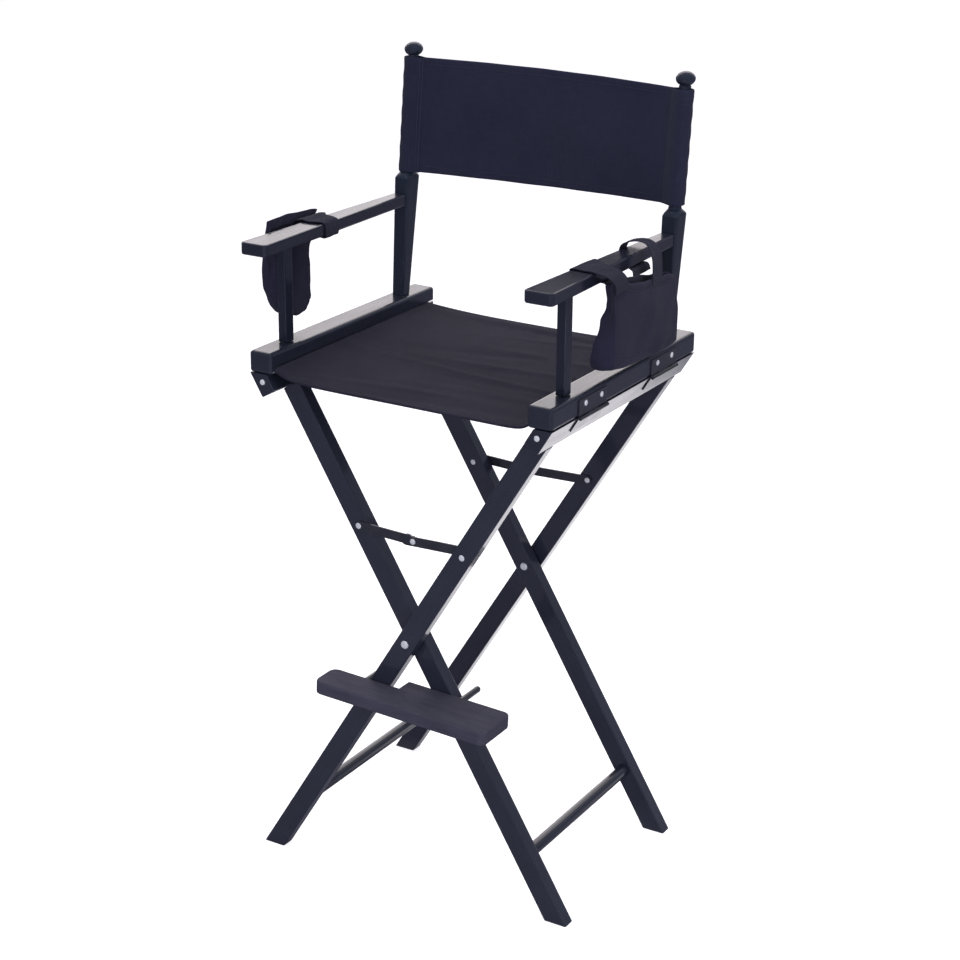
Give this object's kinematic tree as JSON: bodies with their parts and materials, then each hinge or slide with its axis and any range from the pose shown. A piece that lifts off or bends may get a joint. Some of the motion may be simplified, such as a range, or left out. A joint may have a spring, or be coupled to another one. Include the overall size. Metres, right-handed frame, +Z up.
{
  "type": "folding director chair",
  "caption": "Tall folding director chair of black wood with navy canvas seat and back, arm pouches and a footrest on pegs.",
  "frame": {"origin": "centre of the bounding box on the floor", "axes": "+Z up, the chair faces -Y, +X is the viewer's right when facing the chair from the front"},
  "size_m": [0.524, 0.4524, 1.1627],
  "materials": {
    "black_wood": "satin black paint",
    "navy_canvas": "matt heavy cotton canvas",
    "bright_steel": "bright zinc plated",
    "black_steel": "black coated",
    "plain_wood": "bare hardwood dowel",
    "dark_steel": "dull steel"
  },
  "bodies": {
    "outer_frame": {"leg_front_outer": "black_wood", "leg_rear_outer": "black_wood", "stretcher_left": "black_wood", "rail_lower_right": "black_wood", "pivot_rivet_front": "bright_steel", "pivot_rivet_rear": "bright_steel", "brace_rivet_front_outer": "bright_steel", "brace_rivet_rear_outer": "bright_steel", "rail_screw_right_front": "bright_steel", "rail_screw_right_rear": "bright_steel", "pivot_washer_front": "dark_steel", "pivot_washer_rear": "dark_steel", "hinge_leaf_lower_right_front": "black_steel", "hinge_leaf_lower_right_rear": "black_steel"},
    "inner_frame": {"leg_front_inner": "black_wood", "leg_rear_inner": "black_wood", "stretcher_right": "black_wood", "rail_lower_left": "black_wood", "brace_rivet_front_inner": "bright_steel", "brace_rivet_rear_inner": "bright_steel", "rail_screw_left_front": "bright_steel", "rail_screw_left_rear": "bright_steel", "hinge_leaf_lower_left_front": "black_steel", "hinge_leaf_lower_left_rear": "black_steel"},
    "seat_side_right": {"rail_upper_right": "black_wood", "front_post_right": "black_wood", "back_post_right": "black_wood", "arm_right": "black_wood", "seat_dowel_right": "plain_wood", "hinge_leaf_upper_right_front": "black_steel", "hinge_leaf_upper_right_rear": "black_steel", "hinge_screw_right_front_front": "bright_steel", "hinge_screw_right_front_rear": "bright_steel", "hinge_screw_right_rear_front": "bright_steel", "hinge_screw_right_rear_rear": "bright_steel", "pouch_right": "navy_canvas", "seat_canvas": "navy_canvas", "back_canvas": "navy_canvas"},
    "seat_side_left": {"rail_upper_left": "black_wood", "front_post_left": "black_wood", "back_post_left": "black_wood", "arm_left": "black_wood", "seat_dowel_left": "plain_wood", "hinge_leaf_upper_left_front": "black_steel", "hinge_leaf_upper_left_rear": "black_steel", "hinge_screw_left_front_front": "bright_steel", "hinge_screw_left_front_rear": "bright_steel", "hinge_screw_left_rear_front": "bright_steel", "hinge_screw_left_rear_rear": "bright_steel", "pouch_left": "navy_canvas"},
    "brace_front_outer": {"brace_front_outer": "black_steel", "brace_rivet_front_middle": "bright_steel"},
    "brace_front_inner": {"brace_front_inner": "black_steel"},
    "brace_rear_outer": {"brace_rear_outer": "black_steel", "brace_rivet_rear_middle": "bright_steel"},
    "brace_rear_inner": {"brace_rear_inner": "black_steel"},
    "footrest": {"footrest_board": "black_wood", "footrest_peg_left": "black_steel", "footrest_peg_right": "black_steel"}
  },
  "joints": [
    {"name": "frame_fold", "type": "hinge", "parent": "outer_frame", "child": "inner_frame", "pos_m": [0, 0.0158, 0.388], "axis": [0, 1, 0], "range_deg": [0, 54], "deforming": ["seat_canvas", "back_canvas"]},
    {"name": "seat_side_right_fold", "type": "hinge", "parent": "outer_frame", "child": "seat_side_right", "pos_m": [0.244, 0.0158, 0.754], "axis": [0, 1, 0], "range_deg": [0, 27]},
    {"name": "seat_side_left_fold", "type": "hinge", "parent": "inner_frame", "child": "seat_side_left", "pos_m": [-0.244, 0.0158, 0.754], "axis": [0, 1, 0], "range_deg": [-27, 0]},
    {"name": "brace_front_outer_fold", "type": "hinge", "parent": "outer_frame", "child": "brace_front_outer", "pos_m": [0.09258, 0.0158, 0.54], "axis": [0, 1, 0], "range_deg": [0, 110.63]},
    {"name": "brace_front_inner_fold", "type": "hinge", "parent": "inner_frame", "child": "brace_front_inner", "pos_m": [-0.09258, 0.0158, 0.54], "axis": [0, 1, 0], "range_deg": [-110.63, 0]},
    {"name": "brace_rear_outer_fold", "type": "hinge", "parent": "outer_frame", "child": "brace_rear_outer", "pos_m": [0.09258, 0.0158, 0.54], "axis": [0, 1, 0], "range_deg": [0, 110.63]},
    {"name": "brace_rear_inner_fold", "type": "hinge", "parent": "inner_frame", "child": "brace_rear_inner", "pos_m": [-0.09258, 0.0158, 0.54], "axis": [0, 1, 0], "range_deg": [-110.63, 0]},
    {"name": "footrest_pull", "type": "slide", "parent": "outer_frame", "child": "footrest", "axis": [0, -1, 0], "range_m": [0, 0.12]}
  ],
  "couplings": [
    {"joint": "seat_side_right_fold", "follows": "frame_fold", "ratio": 0.5},
    {"joint": "seat_side_left_fold", "follows": "frame_fold", "ratio": -0.5},
    {"joint": "brace_front_outer_fold", "follows": "frame_fold", "ratio": 2.0488},
    {"joint": "brace_front_inner_fold", "follows": "frame_fold", "ratio": -2.0488},
    {"joint": "brace_rear_outer_fold", "follows": "frame_fold", "ratio": 2.0488},
    {"joint": "brace_rear_inner_fold", "follows": "frame_fold", "ratio": -2.0488}
  ]
}
